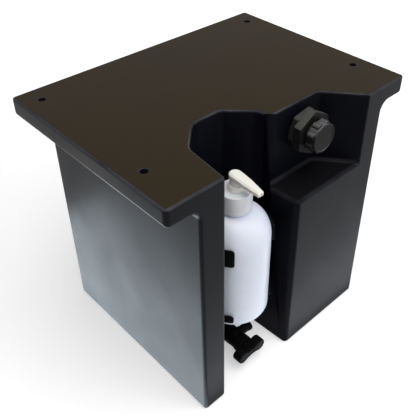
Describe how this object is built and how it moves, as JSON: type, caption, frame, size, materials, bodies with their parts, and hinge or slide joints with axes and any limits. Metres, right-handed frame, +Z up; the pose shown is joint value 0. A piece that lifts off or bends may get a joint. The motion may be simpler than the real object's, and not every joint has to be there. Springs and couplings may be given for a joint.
{
  "type": "hand-wash water tank",
  "caption": "Bolt-under moulded water tank with a bay that holds a pump soap bottle above a tap, and a screw-capped filler neck in a front recess.",
  "frame": {"origin": "middle of the tank's underside, under the middle of the top plate", "axes": "+X to the right seen from the front, -Y out of the front (the bay side), +Z up"},
  "size_m": [0.4, 0.295, 0.37],
  "materials": {
    "tank_black": "satin rotationally moulded polyethylene, black",
    "fitting_black": "satin injection-moulded plastic, black",
    "cap_black": "semi-gloss moulded plastic, black",
    "bottle_white": "satin blow-moulded polyethylene, white",
    "pump_white": "semi-gloss moulded plastic, warm white",
    "natural_plastic": "natural polyethylene",
    "seal_rubber": "black rubber",
    "insert_brass": "turned brass",
    "screw_steel": "stainless steel"
  },
  "bodies": {
    "tank": {"tank_shell": "tank_black", "filler_insert": "insert_brass", "filler_gasket": "seal_rubber", "filler_connector": "cap_black", "tap_insert": "insert_brass", "tap_gasket": "seal_rubber", "tap_body": "fitting_black", "tap_gland_nut": "fitting_black", "upper_clip": "fitting_black", "lower_clip": "fitting_black", "clip_screws": "screw_steel", "clip_inserts": "insert_brass"},
    "tap_key": {"tap_plug": "natural_plastic", "tap_o_rings": "seal_rubber", "tap_handle": "fitting_black"},
    "cap_seal": {"filler_cap_seal": "seal_rubber"},
    "filler_cap": {"filler_cap": "cap_black"},
    "bottle": {"bottle": "bottle_white"},
    "pump_core": {"pump_housing": "natural_plastic", "pump_chaplet": "pump_white", "pump_gasket": "seal_rubber", "dip_tube": "natural_plastic", "pump_spring": "screw_steel"},
    "pump_collar": {"pump_collar": "pump_white"},
    "check_ball": {"pump_ball": "screw_steel"},
    "plunger": {"pump_piston": "natural_plastic"},
    "pump_head": {"pump_head": "pump_white", "pump_stem": "pump_white"}
  },
  "joints": [
    {"name": "tap_turn", "type": "hinge", "parent": "tank", "child": "tap_key", "pos_m": [-0.06, -0.1295, 0.026], "axis": [0, 1, 0], "range_deg": [0, 90]},
    {"name": "cap_travel", "type": "slide", "parent": "tank", "child": "cap_seal", "axis": [0, -1, 0], "range_m": [0, 0.00808]},
    {"name": "cap_turn", "type": "hinge", "parent": "cap_seal", "child": "filler_cap", "pos_m": [0.056, -0.126, 0.33], "axis": [0, -1, 0], "range_deg": [0, 1260]},
    {"name": "bottle_lift", "type": "slide", "parent": "tank", "child": "bottle", "axis": [0, 0, 1], "range_m": [0, 0.16]},
    {"name": "pump_rise", "type": "slide", "parent": "bottle", "child": "pump_core", "axis": [0, 0, 1], "range_m": [0, 0.00635]},
    {"name": "collar_turn", "type": "hinge", "parent": "pump_core", "child": "pump_collar", "pos_m": [-0.0585, -0.0985, 0.286], "axis": [0, 0, 1], "range_deg": [0, 540]},
    {"name": "ball_lift", "type": "slide", "parent": "pump_core", "child": "check_ball", "axis": [0, 0, 1], "range_m": [0, 0.002]},
    {"name": "pump_stroke", "type": "slide", "parent": "pump_core", "child": "plunger", "axis": [0, 0, 1], "range_m": [0, 0.016], "deforming": ["pump_spring"]},
    {"name": "head_turn", "type": "hinge", "parent": "plunger", "child": "pump_head", "pos_m": [-0.0585, -0.0985, 0.31], "axis": [0, 0, 1], "continuous": true}
  ],
  "couplings": [
    {"joint": "cap_travel", "follows": "cap_turn", "m_per_rad": 0.00036745},
    {"joint": "pump_rise", "follows": "collar_turn", "m_per_rad": 0.00067364}
  ]
}
